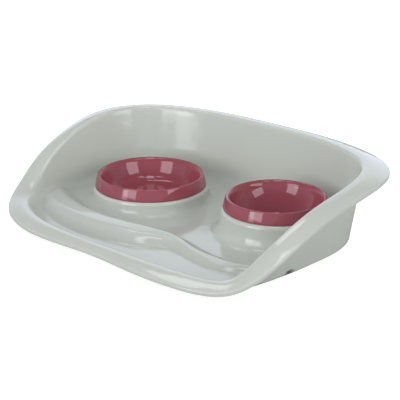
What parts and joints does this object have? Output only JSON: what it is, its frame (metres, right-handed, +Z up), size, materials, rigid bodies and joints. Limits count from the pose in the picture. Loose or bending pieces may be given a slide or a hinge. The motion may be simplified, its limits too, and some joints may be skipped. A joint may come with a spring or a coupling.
{
  "type": "double pet bowl",
  "caption": "Two lift-out pet bowls of different size in a moulded spill tray with a raised, curved back, a rolled rim and a wave-shaped ridge across its floor.",
  "frame": {"origin": "middle of the tray's footprint, on the surface that it stands on", "axes": "+X to the right past the food bowl, +Y to the raised back, +Z up"},
  "size_m": [0.388, 0.298, 0.075],
  "materials": {
    "tray_plastic": "moulded, glossy",
    "bowl_plastic": "moulded, high gloss",
    "foot_rubber": "matt"
  },
  "bodies": {
    "tray": {"tray": "tray_plastic", "rubber_feet": "foot_rubber"},
    "water_bowl": {"water_bowl": "bowl_plastic"},
    "food_bowl": {"food_bowl": "bowl_plastic"}
  },
  "joints": [
    {"name": "water_bowl_lift", "type": "slide", "parent": "tray", "child": "water_bowl", "axis": [0, 0, 1], "range_m": [0, 0.08]},
    {"name": "food_bowl_lift", "type": "slide", "parent": "tray", "child": "food_bowl", "axis": [0, 0, 1], "range_m": [0, 0.08]}
  ]
}
